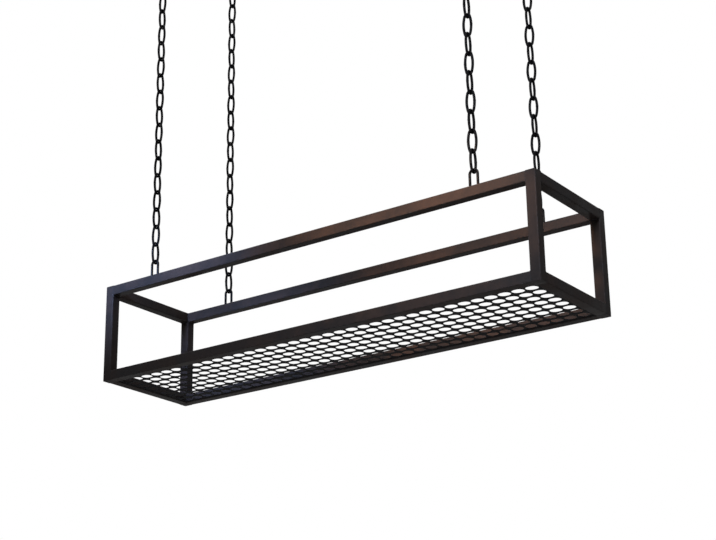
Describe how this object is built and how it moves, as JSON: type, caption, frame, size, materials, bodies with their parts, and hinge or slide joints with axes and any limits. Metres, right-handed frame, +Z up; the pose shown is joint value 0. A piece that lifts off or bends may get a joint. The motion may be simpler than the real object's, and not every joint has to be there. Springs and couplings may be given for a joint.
{
  "type": "hanging pot rack",
  "caption": "Square-tube box rack with a perforated shelf, hung from ceiling hooks on long-link chains; it swings lengthways and sideways and stays level.",
  "frame": {"origin": "centre of the ceiling screw pattern, on the ceiling plane", "axes": "+Z up to the ceiling, +X along the rack's length, -Y its front, the long side nearest the camera"},
  "size_m": [1, 0.29, 1.0294],
  "materials": {
    "frame_paint": "satin bronze-black paint",
    "sheet_paint": "satin black paint",
    "weld_paint": "satin black paint over weld",
    "eye_paint": "satin black paint",
    "chain_black": "semi-gloss black coating",
    "fitting_black": "satin black paint"
  },
  "bodies": {
    "ceiling_fittings": {"ceiling_plate_front_left": "fitting_black", "ceiling_plate_front_right": "fitting_black", "ceiling_plate_back_left": "fitting_black", "ceiling_plate_back_right": "fitting_black", "ceiling_hook_front_left": "fitting_black", "ceiling_hook_front_right": "fitting_black", "ceiling_hook_back_left": "fitting_black", "ceiling_hook_back_right": "fitting_black"},
    "rack": {"post_front_left": "frame_paint", "post_front_right": "frame_paint", "post_back_left": "frame_paint", "post_back_right": "frame_paint", "top_rail_front": "frame_paint", "top_rail_back": "frame_paint", "top_rail_left": "frame_paint", "top_rail_right": "frame_paint", "bottom_rail_front": "frame_paint", "bottom_rail_back": "frame_paint", "bottom_rail_left": "frame_paint", "bottom_rail_right": "frame_paint", "post_top_caps": "frame_paint", "post_bottom_caps": "frame_paint", "shelf_sheet": "sheet_paint", "sheet_tack_welds": "weld_paint", "hanging_eye_front_left": "eye_paint", "hanging_eye_front_right": "eye_paint", "hanging_eye_back_left": "eye_paint", "hanging_eye_back_right": "eye_paint"},
    "top_link_front_left": {"top_link_front_left": "chain_black"},
    "chain_run_front_left": {"chain_run_front_left": "chain_black"},
    "bottom_link_front_left": {"bottom_link_front_left": "chain_black"},
    "top_link_front_right": {"top_link_front_right": "chain_black"},
    "chain_run_front_right": {"chain_run_front_right": "chain_black"},
    "bottom_link_front_right": {"bottom_link_front_right": "chain_black"},
    "top_link_back_left": {"top_link_back_left": "chain_black"},
    "chain_run_back_left": {"chain_run_back_left": "chain_black"},
    "bottom_link_back_left": {"bottom_link_back_left": "chain_black"},
    "top_link_back_right": {"top_link_back_right": "chain_black"},
    "chain_run_back_right": {"chain_run_back_right": "chain_black"},
    "bottom_link_back_right": {"bottom_link_back_right": "chain_black"}
  },
  "joints": [
    {"name": "swing_front_left", "type": "hinge", "parent": "ceiling_fittings", "child": "top_link_front_left", "pos_m": [-0.375, -0.115, -0.042], "axis": [0, 1, 0], "range_deg": [-20, 20]},
    {"name": "sway_front_left", "type": "hinge", "parent": "top_link_front_left", "child": "chain_run_front_left", "pos_m": [-0.375, -0.115, -0.08], "axis": [1, 0, 0], "range_deg": [-20, 20]},
    {"name": "sway_foot_front_left", "type": "hinge", "parent": "chain_run_front_left", "child": "bottom_link_front_left", "pos_m": [-0.375, -0.115, -0.764], "axis": [1, 0, 0], "range_deg": [-20, 20]},
    {"name": "swing_front_right", "type": "hinge", "parent": "ceiling_fittings", "child": "top_link_front_right", "pos_m": [0.375, -0.115, -0.042], "axis": [0, 1, 0], "range_deg": [-20, 20]},
    {"name": "sway_front_right", "type": "hinge", "parent": "top_link_front_right", "child": "chain_run_front_right", "pos_m": [0.375, -0.115, -0.08], "axis": [1, 0, 0], "range_deg": [-20, 20]},
    {"name": "sway_foot_front_right", "type": "hinge", "parent": "chain_run_front_right", "child": "bottom_link_front_right", "pos_m": [0.375, -0.115, -0.764], "axis": [1, 0, 0], "range_deg": [-20, 20]},
    {"name": "swing_back_left", "type": "hinge", "parent": "ceiling_fittings", "child": "top_link_back_left", "pos_m": [-0.375, 0.115, -0.042], "axis": [0, 1, 0], "range_deg": [-20, 20]},
    {"name": "sway_back_left", "type": "hinge", "parent": "top_link_back_left", "child": "chain_run_back_left", "pos_m": [-0.375, 0.115, -0.08], "axis": [1, 0, 0], "range_deg": [-20, 20]},
    {"name": "sway_foot_back_left", "type": "hinge", "parent": "chain_run_back_left", "child": "bottom_link_back_left", "pos_m": [-0.375, 0.115, -0.764], "axis": [1, 0, 0], "range_deg": [-20, 20]},
    {"name": "swing_back_right", "type": "hinge", "parent": "ceiling_fittings", "child": "top_link_back_right", "pos_m": [0.375, 0.115, -0.042], "axis": [0, 1, 0], "range_deg": [-20, 20]},
    {"name": "sway_back_right", "type": "hinge", "parent": "top_link_back_right", "child": "chain_run_back_right", "pos_m": [0.375, 0.115, -0.08], "axis": [1, 0, 0], "range_deg": [-20, 20]},
    {"name": "sway_foot_back_right", "type": "hinge", "parent": "chain_run_back_right", "child": "bottom_link_back_right", "pos_m": [0.375, 0.115, -0.764], "axis": [1, 0, 0], "range_deg": [-20, 20]},
    {"name": "swing_foot", "type": "hinge", "parent": "bottom_link_front_left", "child": "rack", "pos_m": [-0.375, -0.115, -0.802], "axis": [0, 1, 0], "range_deg": [-20, 20]}
  ],
  "couplings": [
    {"joint": "sway_foot_front_left", "follows": "sway_front_left", "ratio": -1},
    {"joint": "swing_front_right", "follows": "swing_front_left", "ratio": 1},
    {"joint": "sway_front_right", "follows": "sway_front_left", "ratio": 1},
    {"joint": "sway_foot_front_right", "follows": "sway_front_left", "ratio": -1},
    {"joint": "swing_back_left", "follows": "swing_front_left", "ratio": 1},
    {"joint": "sway_back_left", "follows": "sway_front_left", "ratio": 1},
    {"joint": "sway_foot_back_left", "follows": "sway_front_left", "ratio": -1},
    {"joint": "swing_back_right", "follows": "swing_front_left", "ratio": 1},
    {"joint": "sway_back_right", "follows": "sway_front_left", "ratio": 1},
    {"joint": "sway_foot_back_right", "follows": "sway_front_left", "ratio": -1},
    {"joint": "swing_foot", "follows": "swing_front_left", "ratio": -1}
  ]
}
